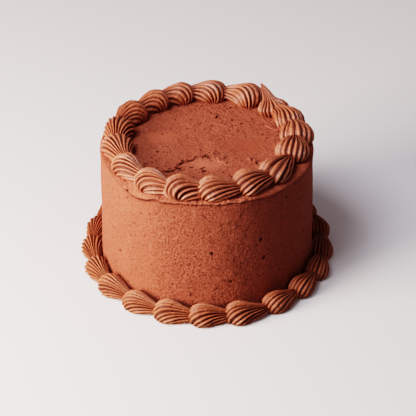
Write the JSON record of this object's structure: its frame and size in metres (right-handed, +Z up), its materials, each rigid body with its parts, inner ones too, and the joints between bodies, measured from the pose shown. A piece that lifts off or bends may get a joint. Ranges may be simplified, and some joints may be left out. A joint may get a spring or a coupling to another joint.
{
  "type": "round buttercream cake",
  "caption": "Whole round chocolate buttercream cake with a border of piped shells round the top edge and another round the foot.",
  "frame": {"origin": "centre of the cake's flat underside", "axes": "+Z up along the cake's axis, -Y towards the viewer of the picture, +X to the viewer's right"},
  "size_m": [0.1798, 0.1834, 0.1072],
  "materials": {
    "coat_buttercream": "matte, finely pitted chocolate buttercream",
    "piped_buttercream": "satin, ridged chocolate buttercream"
  },
  "bodies": {
    "root": {"cake_body": "coat_buttercream", "top_shell_01": "piped_buttercream", "top_shell_02": "piped_buttercream", "top_shell_03": "piped_buttercream", "top_shell_04": "piped_buttercream", "top_shell_05": "piped_buttercream", "top_shell_06": "piped_buttercream", "top_shell_07": "piped_buttercream", "top_shell_08": "piped_buttercream", "top_shell_09": "piped_buttercream", "top_shell_10": "piped_buttercream", "top_shell_11": "piped_buttercream", "top_shell_12": "piped_buttercream", "top_shell_13": "piped_buttercream", "top_shell_14": "piped_buttercream", "top_shell_15": "piped_buttercream", "top_shell_16": "piped_buttercream", "top_shell_17": "piped_buttercream", "base_shell_01": "piped_buttercream", "base_shell_02": "piped_buttercream", "base_shell_03": "piped_buttercream", "base_shell_04": "piped_buttercream", "base_shell_05": "piped_buttercream", "base_shell_06": "piped_buttercream", "base_shell_07": "piped_buttercream", "base_shell_08": "piped_buttercream", "base_shell_09": "piped_buttercream", "base_shell_10": "piped_buttercream", "base_shell_11": "piped_buttercream", "base_shell_12": "piped_buttercream", "base_shell_13": "piped_buttercream", "base_shell_14": "piped_buttercream", "base_shell_15": "piped_buttercream", "base_shell_16": "piped_buttercream", "base_shell_17": "piped_buttercream", "base_shell_18": "piped_buttercream", "base_shell_19": "piped_buttercream", "base_shell_20": "piped_buttercream", "base_shell_21": "piped_buttercream"}
  },
  "joints": []
}
